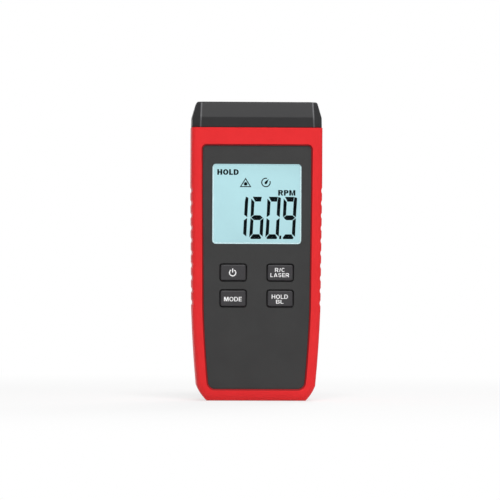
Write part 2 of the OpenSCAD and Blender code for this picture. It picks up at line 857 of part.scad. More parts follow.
module battery_door() {
    color(panel_grey)
        difference() {
            union() {
                span([-door_w / 2, door_y, door_z], [door_w / 2, y_back, door_top_z]);
                span([-latch_w / 2, door_y, door_top_z - root], [latch_w / 2, y_back, latch_top_z]);
                span([-latch_w / 2, door_y - latch_leg, leg_z],
                    [latch_w / 2, door_y + root, leg_z + latch_leg_t]);
                for (side = [-1, 1]) {
                    translate([side * (barrel_x + barrel_l / 2), hinge_y, hinge_z])
                        rotate([0, 90, 0])
                            cylinder(r = hinge_r, h = barrel_l, center = true);
                    translate([side * (pin_x + (pin_l - root) / 2), hinge_y, hinge_z])
                        rotate([0, 90, 0])
                            cylinder(d = pin_d, h = pin_l + root, center = true);
                    x0 = side > 0 ? barrel_x : -pin_x;
                    span([x0, door_y, hinge_z], [x0 + barrel_l, y_back, door_z + root]);
                    span([side * bay_screw_x - rib_t / 2, door_y - rib_h, door_z + rib_end],
                        [side * bay_screw_x + rib_t / 2, door_y + root, door_top_z - rib_end - bay_wall]);
                }
            }
            for (i = [0:groove_count - 1])
                translate([0, y_back + groove_r - groove_depth, door_top_z - groove_drop - groove_pitch * i])
                    rotate([0, 90, 0])
                        cylinder(r = groove_r, h = groove_w, center = true);
        }
}

module display_window() {
    color(clear_blue)
        union() {
            slab(panel_y + window_sink, window_back_y)
                window_shape(-window_gap);
            slab(panel_back_y, window_back_y)
                window_shape(window_lip);
        }
}

module key_cap(at) {
    color(key_grey)
        union() {
            hull() {
                slab(key_y, key_y + key_edge)
                    key_shape(at, -key_edge);
                slab(key_y + key_edge, key_back_y)
                    key_shape(at, 0);
            }
            slab(flange_y, key_back_y)
                key_shape(at, key_flange);
        }
}

module power_key() {
    key_cap(power_at);
}

module laser_key() {
    key_cap(laser_at);
}

module mode_key() {
    key_cap(mode_at);
}

module hold_key() {
    key_cap(hold_at);
}

module plunger(at) {
    color(black_plastic)
        bar(at, plunger_d, key_back_y, switch_y + plunger_seat);
}

module power_plunger() {
    plunger(power_at);
}

module laser_plunger() {
    plunger(laser_at);
}

module mode_plunger() {
    plunger(mode_at);
}

module hold_plunger() {
    plunger(hold_at);
}

module tact_switches() {
    bore_y = switch_y + plunger_seat + key_travel + plunger_gap;
    color(steel_tone)
        for (at = key_places)
            difference() {
                slab(switch_y, board_y)
                    translate(at)
                        square(switch_w, center = true);
                bar(at, plunger_d + 2 * plunger_gap, switch_y - over, bore_y);
            }
}

module lcd_glass() {
    color(lcd_blue)
        union() {
            span([-glass_w / 2, glass_y, glass_z], [glass_w / 2, glass_y + glass_t, glass_top_z]);
            span([-glass_w / 2, glass_y + glass_t, glass_z + glass_ledge],
                [glass_w / 2, light_y, glass_top_z]);
        }
}

module backlight() {
    color(white_plastic)
        span([-glass_w / 2, light_y, glass_z + glass_ledge], [glass_w / 2, board_y, glass_top_z]);
}

module lcd_frame() {
    color(white_plastic)
        difference() {
            span([-lcd_box_w / 2, glass_y, lcd_box_z], [lcd_box_w / 2, board_y, lcd_box_top_z]);
            span([-glass_w / 2 - lcd_fit, glass_y - over, glass_z - lcd_fit],
                [glass_w / 2 + lcd_fit, board_y + over, glass_top_z + lcd_fit]);
        }
}

module zebra_strip() {
    zebra_z = glass_z + (glass_ledge - zebra_w) / 2;
    color(rubber_grey)
        span([-glass_w / 2 + zebra_end, glass_y + glass_t, zebra_z],
            [glass_w / 2 - zebra_end, board_y, zebra_z + zebra_w]);
}

module circuit_board() {
    color(board_green)
        difference() {
            span([-board_w / 2, board_y, board_low_z], [board_w / 2, board_back_y, shell_h - board_drop]);
            for (at = concat(upper_screws, bay_screws, board_screw_places))
                bar(at, screw_d + 2 * screw_gap, board_y - over, board_back_y + over);
            for (at = pegs)
                bar(at, peg_d + 2 * optic_fit, board_y - over, board_back_y + over);
        }
}

module microcontroller() {
    color(black_plastic)
        span([-chip_w / 2, board_back_y, window_z], [chip_w / 2, board_back_y + chip_t, window_z + chip_w]);
}

module crystal() {
    color(steel_tone)
        slab(board_back_y, board_back_y + crystal_h)
            translate([0, window_z + chip_w + crystal_gap + crystal_w / 2])
                obround(crystal_l, crystal_w);
}

// Round bar along the height at x and the optical depth
module shaft(x, d, z0, z1) {
    translate([x, optic_y, z0])
        cylinder(d = d, h = z1 - z0);
}

module optics_holder() {
    color(black_plastic)
        difference() {
            union() {
                span([-holder_w / 2, board_back_y, holder_z],
                    [holder_w / 2, board_back_y + holder_d, holder_top_z]);
                for (at = pegs)
                    bar(at, peg_d, board_y, board_back_y + root);
            }
            shaft(-laser_x, laser_d + 2 * optic_fit, holder_z - over, holder_top_z + over);
            shaft(receiver_x, diode_d + 2 * optic_fit, holder_z - over, holder_z + diode_h + over);
            shaft(receiver_x, receiver_d, holder_z + diode_h, holder_top_z);
            shaft(receiver_x, receiver_lens_d + 2 * optic_fit, lens_seat_z, holder_top_z + over);
        }
}

module laser_module() {
    color(brass_tone)
        difference() {
            shaft(-laser_x, laser_d, holder_z - laser_tail, laser_top_z);
            shaft(-laser_x, laser_lens_d + 2 * optic_fit, laser_top_z - 2 * laser_lens_t, laser_top_z + over);
        }
}

module laser_lens() {
    color(lens_tint)
        shaft(-laser_x, laser_lens_d, laser_top_z - 2 * laser_lens_t, laser_top_z - laser_lens_t);
}

module receiver_lens() {
    color(lens_tint)
        intersection() {
            shaft(receiver_x, receiver_lens_d, lens_seat_z, lens_seat_z + receiver_lens_t);
            translate([receiver_x, optic_y, lens_seat_z + receiver_lens_t - receiver_lens_r])
                sphere(receiver_lens_r);
        }
}

module photodiode() {
    color(black_plastic)
        shaft(receiver_x, diode_d, holder_z, holder_z + diode_h);
}

// AAA cell with its button up or down
module cell(x, up) {
    body_z = up ? cell_rest_z + spring_h : cell_rest_z + button_h;
    color(cell_tone)
        translate([x, cell_y, 0]) {
            translate([0, 0, body_z])
                cylinder(d = cell_d, h = cell_l - button_h);
            translate([0, 0, up ? body_z + cell_l - button_h - root : cell_rest_z])
                cylinder(d = button_d, h = button_h + root);
        }
}

module left_cell() {
    cell(-cell_pitch, true);
}

module middle_cell() {
    cell(0, false);
}

module right_cell() {
    cell(cell_pitch, true);
}

// Tapered coil between two heights, wide at its plate
function coil_ring(r, z, turn) =
    [for (j = [0:wire_sides - 1]) let (a = 360 * j / wire_sides, reach = r + spring_wire / 2 * sin(a))
        [reach * cos(turn), reach * sin(turn), z + spring_wire / 2 * cos(a)]];

module coil(x, plate_z, cell_z) {
    steps = spring_turns * coil_steps;
    low = min(plate_z, cell_z) + spring_wire / 2;
    high = max(plate_z, cell_z) - spring_wire / 2;
    low_r = (plate_z < cell_z ? spring_d : spring_d * coil_taper) / 2;
    high_r = (plate_z < cell_z ? spring_d * coil_taper : spring_d) / 2;
    translate([x, cell_y, 0])
        loft([for (k = [0:steps])
            coil_ring(mix(low_r, high_r, k / steps), mix(low, high, k / steps), 360 * k / coil_steps)]);
}

module contact_springs() {
    color(steel_tone) {
        coil(-cell_pitch, cell_rest_z, cell_rest_z + spring_h);
        coil(0, contact_top_z, contact_top_z - spring_h);
        coil(cell_pitch, cell_rest_z, cell_rest_z + spring_h);
    }
}

module contact_plate(x0, x1, z) {
    span([x0 - contact_w / 2, cell_y - contact_w / 2, z],
        [x1 + contact_w / 2, cell_y + contact_w / 2, z + contact_t]);
}

// Strip from a plate through the bay floor to a foot on the board
module solder_tab(x, z, foot_z) {
    span([x - tab_w / 2, board_back_y, z],
        [x + tab_w / 2, cell_y - contact_w / 2 + root, z + contact_t]);
    span([x - tab_w / 2, board_back_y, min(z, foot_z)],
        [x + tab_w / 2, board_back_y + contact_t, max(z, foot_z)]);
}

module contact_plates() {
    color(steel_tone) {
        contact_plate(-cell_pitch, -cell_pitch, contact_top_z);
        solder_tab(-cell_pitch, contact_top_z, contact_top_z - tab_w);
        contact_plate(0, cell_pitch, contact_top_z);
        contact_plate(-cell_pitch, 0, bay_z);
        contact_plate(cell_pitch, cell_pitch, bay_z);
        solder_tab(cell_pitch, bay_z, board_low_z + tab_w);
    }
}

// Pan head screw from its seat towards the front
module screw(at, seat_y) {
    color(steel_tone)
        difference() {
            union() {
                bar(at, screw_head_d, seat_y, seat_y + screw_head_h);
                bar(at, screw_d, board_y - screw_bite + screw_gap, seat_y + root);
            }
            for (turn = [0, 90])
                translate([at[0], seat_y + screw_head_h, at[1]])
                    rotate([0, turn, 0])
                        cube([screw_d, screw_head_h, screw_slot_w], center = true);
        }
}

module case_screws() {
    for (at = upper_screws)
        screw(at, upper_seat_y);
    for (at = bay_screws)
        screw(at, bay_y);
}

module board_screws() {
    for (at = board_screw_places)
        screw(at, board_back_y);
}

front_case();
face_panel();
rear_case();
nose_cap();
sensor_window();
battery_door();
display_window();
power_key();
laser_key();
mode_key();
hold_key();
power_plunger();
laser_plunger();
mode_plunger();
hold_plunger();
tact_switches();
lcd_glass();
backlight();
lcd_frame();
zebra_strip();
circuit_board();
microcontroller();
crystal();
optics_holder();
laser_module();
laser_lens();
receiver_lens();
photodiode();
left_cell();
middle_cell();
right_cell();
contact_springs();
contact_plates();
case_screws();
board_screws();
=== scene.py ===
import math

import bmesh
import bpy
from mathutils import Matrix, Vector


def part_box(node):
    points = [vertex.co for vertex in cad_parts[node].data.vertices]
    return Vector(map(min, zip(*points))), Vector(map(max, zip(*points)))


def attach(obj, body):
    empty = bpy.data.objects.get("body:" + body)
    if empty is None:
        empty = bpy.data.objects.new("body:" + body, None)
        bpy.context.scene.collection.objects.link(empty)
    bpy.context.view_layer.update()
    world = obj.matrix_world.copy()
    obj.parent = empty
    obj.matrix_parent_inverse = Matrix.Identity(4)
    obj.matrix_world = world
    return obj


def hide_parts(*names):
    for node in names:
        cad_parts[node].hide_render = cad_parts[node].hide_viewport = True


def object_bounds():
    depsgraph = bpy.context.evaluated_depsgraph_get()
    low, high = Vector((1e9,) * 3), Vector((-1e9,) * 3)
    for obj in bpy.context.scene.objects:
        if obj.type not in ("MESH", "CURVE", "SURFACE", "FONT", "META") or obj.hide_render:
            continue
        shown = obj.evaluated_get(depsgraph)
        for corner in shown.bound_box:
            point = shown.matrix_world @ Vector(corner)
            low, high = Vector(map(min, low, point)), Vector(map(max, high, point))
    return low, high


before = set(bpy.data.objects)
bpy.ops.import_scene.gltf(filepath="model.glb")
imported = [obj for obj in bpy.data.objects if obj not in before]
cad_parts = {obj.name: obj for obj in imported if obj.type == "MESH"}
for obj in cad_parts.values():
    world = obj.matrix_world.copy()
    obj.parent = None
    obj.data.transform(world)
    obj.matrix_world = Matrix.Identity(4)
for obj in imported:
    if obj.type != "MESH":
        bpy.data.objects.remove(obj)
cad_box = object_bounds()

# Red shell: the front case with its frame and the rear case with the battery bay.
# Injection moulded ABS with a satin skin from a lightly blasted mould, lapped along the
# parting line and drawn together by four screws from behind.


class Wire:
    """A shader socket that can stand in a sum."""

    def __init__(self, socket):
        self.socket = socket

    def node(self, kind, settings, sockets, out=0):
        """Adds a node: its settings first, then the values or links of its sockets."""
        tree = self.socket.id_data
        made = tree.nodes.new(kind)
        for name, value in settings.items():
            setattr(made, name, value)
        for name, value in sockets.items():
            if isinstance(value, Wire):
                tree.links.new(value.socket, made.inputs[name])
            else:
                made.inputs[name].default_value = value
        return Wire(made.outputs[out])

    def maths(self, operation, first, second=0.0):
        return self.node("ShaderNodeMath", {"operation": operation}, {0: first, 1: second})

    def __add__(self, other):
        return self.maths("ADD", self, other)

    def __radd__(self, other):
        return self.maths("ADD", other, self)

    def __sub__(self, other):
        return self.maths("SUBTRACT", self, other)

    def __rsub__(self, other):
        return self.maths("SUBTRACT", other, self)

    def __mul__(self, other):
        return self.maths("MULTIPLY", self, other)

    def __rmul__(self, other):
        return self.maths("MULTIPLY", other, self)

    def __abs__(self):
        return self.maths("ABSOLUTE", self)

    def larger(self, other):
        return self.maths("MAXIMUM", self, other)

    def root(self):
        return self.maths("SQRT", self)

    def ramp(self, low, high):
        """0 below low, 1 above high, eased between."""
        return self.node(
            "ShaderNodeMapRange",
            {"interpolation_type": "SMOOTHSTEP"},
            {"Value": self, "From Min": low, "From Max": high},
        )

    def blend(self, first, second):
        """Colour that goes from first to second as this goes from 0 to 1."""
        return self.node("ShaderNodeMix", {"data_type": "RGBA"}, {0: self, 6: first, 7: second}, 2)

    def noise(self, scale, detail=2.0, roughness=0.5):
        """Cloudy values about one half, at so many lumps a metre."""
        sockets = {"Vector": self, "Scale": scale, "Detail": detail, "Roughness": roughness}
        return self.node("ShaderNodeTexNoise", {}, sockets)

    def axes(self):
        split = self.node("ShaderNodeSeparateXYZ", {}, {"Vector": self}).socket.node
        return [Wire(split.outputs[name]) for name in "XYZ"]

    def bump(self, height, distance, strength=1.0):
        sockets = {"Height": height, "Distance": distance, "Strength": strength}
        return self.node("ShaderNodeBump", {}, sockets)


def srgb(red, green, blue):
    """Colour from its screen values of 0 to 255."""
    linear = []
    for part in (red / 255, green / 255, blue / 255):
        linear.append(part / 12.92 if part <= 0.04045 else ((part + 0.055) / 1.055) ** 2.4)
    return linear + [1.0]


def start_finish(name, **constants):
    """New material with its constant sockets set, its shader, and the place on the piece in metres."""
    material = bpy.data.materials.new(name)
    material.use_nodes = True
    tree = material.node_tree
    shader = tree.nodes["Principled BSDF"]
    for socket, value in constants.items():
        shader.inputs[socket.replace("_", " ")].default_value = value
    return material, shader, Wire(tree.nodes.new("ShaderNodeTexCoord").outputs["Object"])


def feed(shader, socket, wire):
    shader.id_data.links.new(wire.socket, shader.inputs[socket])


def moulded(name, colour, shade, rough, grain, depth, gloss, where=None, mark=None):
    """Moulded plastic: cloudy colour, and a blasted grain at so many pits a metre and so deep.

    A second colour, the mark, covers the places that a function gives.
    """
    material, shader, place = start_finish(name, Specular_IOR_Level=gloss)
    cloud = place.noise(70.0, 3.0)
    pits = place.noise(grain, 3.0, 0.6)
    skin = (cloud * 0.7 + pits * 0.3).ramp(0.25, 0.75).blend(shade, colour)
    if where:
        skin = (where(place) * (0.8 + pits * 0.2)).blend(skin, mark)
    feed(shader, "Base Color", skin)
    feed(shader, "Roughness", rough + (pits - 0.5) * 0.16 + (cloud - 0.5) * 0.08)
    feed(shader, "Normal", place.bump(pits, depth))
    return material


def smooth_faces(name, crease):
    """Node group that welds a CAD mesh and shades it smooth up to a crease angle."""
    group = bpy.data.node_groups.new(name, "GeometryNodeTree")
    group.interface.new_socket("Geometry", in_out="INPUT", socket_type="NodeSocketGeometry")
    group.interface.new_socket("Geometry", in_out="OUTPUT", socket_type="NodeSocketGeometry")
    into, out = group.nodes.new("NodeGroupInput"), group.nodes.new("NodeGroupOutput")
    weld = group.nodes.new("GeometryNodeMergeByDistance")
    weld.inputs["Distance"].default_value = 2e-6
    angle = group.nodes.new("GeometryNodeInputMeshEdgeAngle")
    sharp = group.nodes.new("FunctionNodeCompare")
    sharp.inputs[1].default_value = math.radians(crease)
    normal = group.nodes.new("GeometryNodeSetMeshNormal")
    normal.inputs["Remove Custom"].default_value = True
    for a, b in (
        (into.outputs[0], weld.inputs["Geometry"]),
        (weld.outputs[0], normal.inputs["Mesh"]),
        (angle.outputs["Unsigned Angle"], sharp.inputs[0]),
        (sharp.outputs[0], normal.inputs["Edge Sharpness"]),
        (normal.outputs[0], out.inputs[0]),
    ):
        group.links.new(a, b)
    return group


soft_crease = smooth_faces("soft_crease", 30.0)
MM = 0.001


def dress(node, material, ease=0.0, crease=30.0):
    """Gives a CAD node its finish and smooth shading, and rounds edges sharper than the crease angle.

    The ease is how far an edge is rounded, in millimetres.
    """
    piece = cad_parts[node]
    piece.data.materials.clear()
    piece.data.materials.append(material)
    piece.modifiers.new("smooth_faces", "NODES").node_group = soft_crease
    if ease:
        flat = piece.modifiers.new("whole_faces", "DECIMATE")
        flat.decimate_type = "DISSOLVE"
        flat.angle_limit = math.radians(0.5)
        edge = piece.modifiers.new("eased_edges", "BEVEL")
        edge.width = ease * MM
        edge.segments = 2
        edge.limit_method = "ANGLE"
        edge.angle_limit = math.radians(crease)
        even = piece.modifiers.new("even_faces", "WEIGHTED_NORMAL")
        even.keep_sharp = True
        even.weight = 80


shell_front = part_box("front_case")[0].y
panel_low, panel_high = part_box("face_panel")
wall_depth, inward_from, inward_full = 1.2 * MM, 2.0 * MM, 8.0 * MM


def frame_wall_painted_shade(place):
    """1 on the sloping inner wall of the frame, which faces the middle of the panel; there the red is
    painted dark as shade.
    """
    facing = Wire(place.socket.node.outputs["Normal"])
    middle = [0, 0, (panel_low.z + panel_high.z) / 2]
    out = place.node("ShaderNodeVectorMath", {"operation": "SUBTRACT"}, {0: place, 1: middle})
    flat = place.node("ShaderNodeVectorMath", {"operation": "MULTIPLY"}, {0: out, 1: (1, 0, 1)})
    inward = place.node("ShaderNodeVectorMath", {"operation": "DOT_PRODUCT"}, {0: flat, 1: facing}, "Value")
    front = 1 - (place.axes()[1] - shell_front).ramp(wall_depth, wall_depth + 0.2 * MM)
    return (0 - inward).ramp(inward_from, inward_full) * front


# Painted shade: near the front, the frame's inner wall is painted a darker red where shade falls in the
# joint with the panel.
bright_red, deep_red, painted_shade_red = srgb(233, 40, 44), srgb(226, 36, 40), srgb(150, 24, 27)
red_satin = moulded(
    "red_satin",
    bright_red,
    deep_red,
    rough=0.5,
    grain=5200.0,
    depth=0.000012,
    gloss=0.25,
    where=frame_wall_painted_shade,
    mark=painted_shade_red,
)
dress("front_case", red_satin, ease=0.18)
dress("rear_case", red_satin, ease=0.18)

# Face panel: the dark plate inside the red frame, with the openings for display and keys.
# Moulded ABS with a fine spark-eroded grain, set in from behind with its lip against the frame.

panel_grain = moulded(
    "panel_grain", srgb(58, 58, 58), srgb(52, 52, 52), rough=0.62, grain=7000.0, depth=0.00002, gloss=0.25
)
dress("face_panel", panel_grain, ease=0.15)

# Display window: a clear acrylic plate with a shoulder, seated from behind in the panel.
# Its polished face shows the glass behind it, and a pale rim is painted along its edge as a highlight that
# glows by emission.

window_low, window_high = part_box("display_window")
shoulder, window_r, rim, fade = 1.2 * MM, 1.5 * MM, 0.4 * MM, 0.35 * MM
rim_highlight, rim_cover, clear_cover, top_shade = srgb(226, 243, 246), 0.28, 0.02, 0.8
clear_acrylic, shader, place = start_finish(
    "clear_acrylic", Roughness=0.06, IOR=1.49, Specular_IOR_Level=0.4, Emission_Strength=0.3
)
x, _, z = place.axes()
middle_z = (window_low.z + window_high.z) / 2
straight_x, straight_z = window_high.x - shoulder - window_r, window_high.z - shoulder - window_r
beside = (abs(x) - straight_x).larger(0.0)
above = (abs(z - middle_z) - (straight_z - middle_z)).larger(0.0)
from_edge = window_r - (beside * beside + above * above).root()
# Painted shade: the painted highlight on the rim is weakened along the top edge.
upper_shade = (z - straight_z).ramp(0.0, window_r) * top_shade
edge_light = (1 - from_edge.ramp(rim, rim + fade)) * (1 - upper_shade)
feed(shader, "Base Color", edge_light.blend(srgb(8, 18, 20), rim_highlight))
feed(shader, "Emission Color", edge_light.blend(srgb(0, 0, 0), rim_highlight))
feed(shader, "Alpha", clear_cover + edge_light * rim_cover)
dress("display_window", clear_acrylic, ease=0.12)

# Display: two panes of glass with the liquid crystal between them, over a white light guide.
# The panes stand in a moulded frame on the board, and a layered rubber strip joins their contacts.

# The glass glows by emission as a painted stand-in for its backlight. Glow and colour are painted brighter
# towards the top to lift the shade that falls there, mixed with a random cloudy drift.
lcd_tint, shader, place = start_finish("lcd_tint", Specular_IOR_Level=0.1, Emission_Strength=0.88)
glass_low, glass_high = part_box("lcd_glass")
painted_lift = place.axes()[2].ramp(glass_low.z, glass_high.z)
drift_and_painted_lift = place.noise(45.0, 2.0).ramp(0.3, 0.7) * 0.4 + painted_lift * 0.6
feed(shader, "Base Color", drift_and_painted_lift.blend(srgb(70, 90, 93), srgb(74, 94, 97)))
feed(shader, "Emission Color", drift_and_painted_lift.blend(srgb(180, 220, 227), srgb(190, 234, 240)))
feed(shader, "Roughness", 0.22 + drift_and_painted_lift * 0.08)
dress("lcd_glass", lcd_tint)

light_guide = moulded(
    "light_guide",
    srgb(240, 241, 240),
    srgb(230, 232, 231),
    rough=0.35,
    grain=3000.0,
    depth=0.00001,
    gloss=0.4,
)
for node in ("backlight", "lcd_frame"):
    dress(node, light_guide, ease=0.1)

layered_rubber, shader, place = start_finish("layered_rubber", Specular_IOR_Level=0.2)
layers = place.node("ShaderNodeTexWave", {"bands_direction": "X"}, {"Vector": place, "Scale": 900.0}, "Fac")
feed(shader, "Base Color", layers.blend(srgb(58, 58, 60), srgb(214, 120, 132)))
feed(shader, "Roughness", 0.6 + layers * 0.15)
dress("zebra_strip", layered_rubber)

# Display marks: the dark segments that the reading turns on, four slanted figures and a point,
# and above them the small words and signs for hold, laser, contact-free measuring and unit.
# They are thin plates against the front pane.

mark_front, mark_back = glass_low.y - 0.05 * MM, glass_low.y - 0.02 * MM
display_ink, shader, place = start_finish("display_ink", Specular_IOR_Level=0.05)
mottle = place.noise(1500.0)
feed(shader, "Base Color", mottle.blend(srgb(0, 6, 9), srgb(4, 15, 19)))
feed(shader, "Roughness", 0.45 + mottle * 0.1)


def new_piece(name, mesh, material, body, at=(0, 0, 0), turn=(0, 0, 0)):
    """Puts a mesh in the scene as a piece that moves with a body."""
    piece = bpy.data.objects.new(name, mesh)
    bpy.context.scene.collection.objects.link(piece)
    piece.location = at
    piece.rotation_euler = turn
    mesh.materials.append(material)
    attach(piece, body)
    return piece


def plates(name, shapes, front, back):
    """Mesh of flat plates in millimetres as seen from the front, each an outline and its holes."""
    form = bmesh.new()
    for loops in shapes:
        sides = []
        for depth in (front, back):
            rows = [[form.verts.new((px * MM, depth, pz * MM)) for px, pz in loop] for loop in loops]
            edges = [form.edges.new((row[i - 1], row[i])) for row in rows for i in range(len(row))]
            bmesh.ops.triangle_fill(form, use_beauty=True, edges=edges)
            sides.append(rows)
        for near, far in zip(*sides):
            for i in range(len(near)):
                form.faces.new((near[i - 1], near[i], far[i], far[i - 1]))
    bmesh.ops.recalc_face_normals(form, faces=form.faces)
    mesh = bpy.data.meshes.new(name)
    form.to_mesh(mesh)
    form.free()
    return mesh


def arc(px, pz, rx, rz, start, end, steps=12):
    """Points along part of an ellipse, from one angle to another in degrees."""
    turns = [math.radians(start + (end - start) * k / steps) for k in range(steps + 1)]
    return [(px + rx * math.cos(a), pz + rz * math.sin(a)) for a in turns]


def stroke(spine, width):
    """Outline of a stroke of one width along a line of points."""
    near, far = [], []
    for i, (px, pz) in enumerate(spine):
        ahead, behind = Vector(spine[min(i + 1, len(spine) - 1)]), Vector(spine[max(i - 1, 0)])
        along = (ahead - behind).normalized() * width / 2
        near.append((px - along.y, pz + along.x))
        far.append((px + along.y, pz - along.x))
    return near + far[::-1]


figure_w, figure_h, waist = 5.75, 18.0, 9.1
upright_t, level_t, gap, nick = 1.42, 2.05, 0.15, 0.75
left_in, right_in = upright_t + gap, figure_w - upright_t - gap
bars = {
    "a": [
        (nick * 0.75, figure_h),
        (right_in + 0.25, figure_h),
        (right_in, figure_h - level_t),
        (left_in + gap, figure_h - level_t),
    ],
    "b": [
        (figure_w - upright_t + 0.3, figure_h),
        (figure_w, figure_h - nick * 0.6),
        (figure_w - 0.05, waist + gap),
        (figure_w - upright_t, waist + level_t / 2 + gap),
        (figure_w - upright_t, figure_h - level_t),
    ],
    "c": [
        (figure_w - 0.05, waist - gap),
        (figure_w, nick * 1.35),
        (figure_w - upright_t, level_t + gap),
        (figure_w - upright_t, waist - level_t / 2 - gap),
    ],
    "d": [
        (nick * 0.6, nick * 0.7),
        (nick, 0),
        (figure_w - nick * 1.3, 0),
        (figure_w - nick * 0.8, nick * 0.7),
        (right_in, level_t),
        (left_in, level_t),
    ],
    "e": [
        (0, nick),
        (upright_t, level_t + gap),
        (upright_t, waist - level_t / 2 - gap),
        (0.1, waist - gap),
    ],
    "f": [
        (0, figure_h - nick),
        (upright_t, figure_h - level_t - gap),
        (upright_t, waist + level_t / 2 + gap),
        (0.1, waist + gap),
    ],
    "g": [
        (0.1 + gap * 2, waist),
        (left_in, waist + level_t / 2),
        (right_in, waist + level_t / 2),
        (figure_w - 0.1 - gap * 2, waist),
        (right_in, waist - level_t / 2),
        (left_in, waist - level_t / 2),
    ],
}
figure_low, slant = 68.8, math.tan(math.radians(2.9))
figure_left = [-10.18, -3.18, 3.68, 10.6]
marks = []
for left, lit in zip(figure_left, ("bc", "acdefg", "abcdef", "abcdfg")):
    marks += [[[(left + px + slant * pz, figure_low + pz) for px, pz in bars[bar]]] for bar in lit]
point_left, point_w, point_h, point_lean = 9.62, 0.88, 1.5, 0.08
point_foot = [(point_left, figure_low), (point_left + point_w, figure_low)]
point_head = [(px + point_lean, pz + point_h) for px, pz in point_foot[::-1]]
marks.append([point_foot + point_head])

sign_x, sign_z, sign_w, sign_h, line_t = -4.78, 90.88, 5.0, 4.0, 0.4
corners = [(sign_x - sign_w / 2, sign_z), (sign_x + sign_w / 2, sign_z), (sign_x, sign_z + sign_h)]
inner_r = sign_w * sign_h / (sign_w + 2 * math.hypot(sign_w / 2, sign_h))
heart_z, shrink = sign_z + inner_r, 1 - line_t / inner_r
opening = [(sign_x + (px - sign_x) * shrink, heart_z + (pz - heart_z) * shrink) for px, pz in corners]
marks.append([corners, opening])
rays, spark_z, spark_long, spark_short = 8, 92.25, 1.0, 0.62
spark = []
for k in range(2 * rays):
    reach = spark_long if k % 2 else spark_short
    turn = math.radians(k * 180 / rays)
    spark.append((sign_x + reach * math.cos(turn), spark_z + reach * math.sin(turn)))
marks.append([spark])
gauge_x, gauge_z, gauge_r, gauge_t = 3.9, 92.9, 1.8, 0.46
marks.append([stroke(arc(gauge_x, gauge_z, gauge_r, gauge_r, 75, 380, 40), gauge_t)])
needle = [(3.35, 92.4), (3.7, 92.1), (4.2, 92.25), (4.5, 92.75), (5.1, 94.35), (3.75, 93.45), (3.3, 92.9)]
marks.append([needle])


